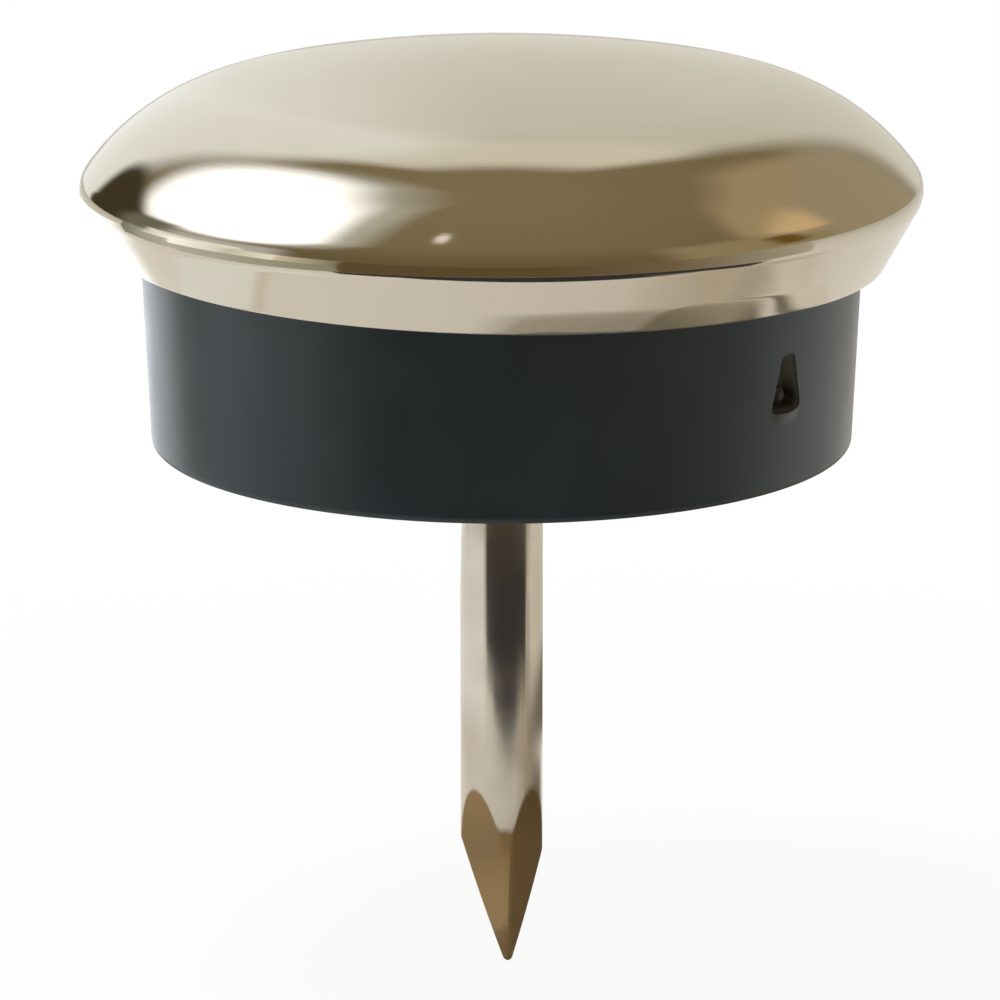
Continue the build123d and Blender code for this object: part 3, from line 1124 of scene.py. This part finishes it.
def card_mesh(card):
    """The strip of a card, from its inner edge to its outer one, with its colours and faded edges."""
    left_colour, right_colour = Vector(card.left_colour), Vector(card.right_colour)
    points, colours = [], []
    for step in range(CARD_STEPS + 1):
        share = step / CARD_STEPS
        turn = radians(card.left + (card.right - card.left) * share)
        radius, height = bowed(card.inner_radii, share), bowed(card.inner_heights, share)
        for row in range(CARD_ROWS + 1):
            out = row / CARD_ROWS
            reach = radius + (card.outer_radius - radius) * out
            rise = height + (card.outer_height - height) * out
            points.append(Vector((reach * sin(turn), -reach * cos(turn), rise)) * MM)
            edge = min(share, 1 - share, out, 1 - out)
            alpha = min(edge / card.soft, 1.0) if card.soft else 1.0
            colours.append((*left_colour.lerp(right_colour, share), alpha))
    line = CARD_ROWS + 1
    corners = [step * line + row for step in range(CARD_STEPS) for row in range(CARD_ROWS)]
    mesh = bpy.data.meshes.new(card.name)
    mesh.from_pydata(points, [], [(i, i + 1, i + line + 1, i + line) for i in corners])
    glow = mesh.color_attributes.new("glow", "FLOAT_COLOR", "POINT")
    for point, colour in zip(glow.data, colours):
        point.color = colour
    return mesh


class GLIDE_OT_add_stage(bpy.types.Operator):
    """Adds the floor, the cards that the metal mirrors, the light and the camera"""

    bl_idname = "glide.add_stage"
    bl_label = "Add Stage"

    def execute(self, context):
        scene = context.scene
        stage = scene.glide_stage
        ground = -scene.glide_nail.length
        self.add_floor(stage, ground)
        for card in NEAR_CARDS:
            self.add_near_card(card, ground)
        self.add_key_light(stage)
        self.add_camera(scene, stage)
        scene.world = studio_world()
        scene.view_settings.view_transform = "Standard"
        return {"FINISHED"}

    def add_floor(self, stage, ground):
        mesh = bpy.data.meshes.new("floor")
        shell = bmesh.new()
        bmesh.ops.create_circle(shell, cap_ends=True, segments=FLOOR_SEGMENTS, radius=stage.floor_radius)
        shell.to_mesh(mesh)
        shell.free()
        mesh.materials.append(floor_finish(stage))
        floor = new_piece("floor", mesh)
        floor.location.z = ground

    def add_near_card(self, card, ground):
        mesh = card_mesh(card)
        mesh.materials.append(card_finish(card))
        piece = new_piece(card.name, mesh)
        piece.location.z = ground + CARD_LIFT
        piece.visible_camera = False
        piece.visible_diffuse = False
        piece.visible_shadow = False

    def add_key_light(self, stage):
        light = bpy.data.lights.new("key_light", "AREA")
        light.shape = "DISK"
        light.size = stage.key_size
        light.energy = stage.key_power
        key = bpy.data.objects.new("key_light", light)
        out = stage.key_distance * sin(stage.key_tilt)
        up = stage.key_distance * cos(stage.key_tilt)
        key.location = (out * cos(stage.key_bearing), out * sin(stage.key_bearing), up)
        key.rotation_euler = key.location.to_track_quat("Z", "Y").to_euler()
        key.visible_glossy = False
        bpy.context.scene.collection.objects.link(key)

    def add_camera(self, scene, stage):
        data = bpy.data.cameras.new("camera")
        data.lens = stage.lens
        data.sensor_width = SENSOR_WIDTH
        data.clip_start = 1 * MM
        camera = bpy.data.objects.new("camera", data)
        towards = Vector((0, -cos(stage.elevation), sin(stage.elevation)))
        camera.location = Vector((stage.aim_side, 0, stage.aim_height)) + towards * stage.distance
        camera.rotation_euler = towards.to_track_quat("Z", "Y").to_euler()
        scene.collection.objects.link(camera)
        scene.camera = camera


class GLIDE_PT_panel(bpy.types.Panel):
    """Lists the pieces of the glide and their settings"""

    bl_idname = "GLIDE_PT_panel"
    bl_label = "Furniture Glide"
    bl_space_type = "VIEW_3D"
    bl_region_type = "UI"
    bl_category = "Glide"

    def draw(self, context):
        for operator, settings in (
                ("glide.add_cap", context.scene.glide_cap), ("glide.add_base", context.scene.glide_base),
                ("glide.add_nail", context.scene.glide_nail), ("glide.add_stage", context.scene.glide_stage)):
            box = self.layout.box()
            box.operator(operator)
            for name in settings.__annotations__:
                box.prop(settings, name)


SETTINGS = {
    "glide_cap": GlideCapSettings,
    "glide_base": GlideBaseSettings,
    "glide_nail": GlideNailSettings,
    "glide_stage": GlideStageSettings,
}
CLASSES = (
    *SETTINGS.values(), GLIDE_OT_add_cap, GLIDE_OT_add_base, GLIDE_OT_add_nail, GLIDE_OT_add_stage,
    GLIDE_PT_panel)


def register():
    for cls in CLASSES:
        bpy.utils.register_class(cls)
    for name, settings in SETTINGS.items():
        setattr(bpy.types.Scene, name, bpy.props.PointerProperty(type=settings))


def unregister():
    for name in SETTINGS:
        delattr(bpy.types.Scene, name)
    for cls in reversed(CLASSES):
        bpy.utils.unregister_class(cls)


def main():
    register()
    bpy.ops.glide.add_cap()
    bpy.ops.glide.add_base()
    bpy.ops.glide.add_nail()
    bpy.ops.glide.add_stage()


if __name__ == "__main__":
    main()
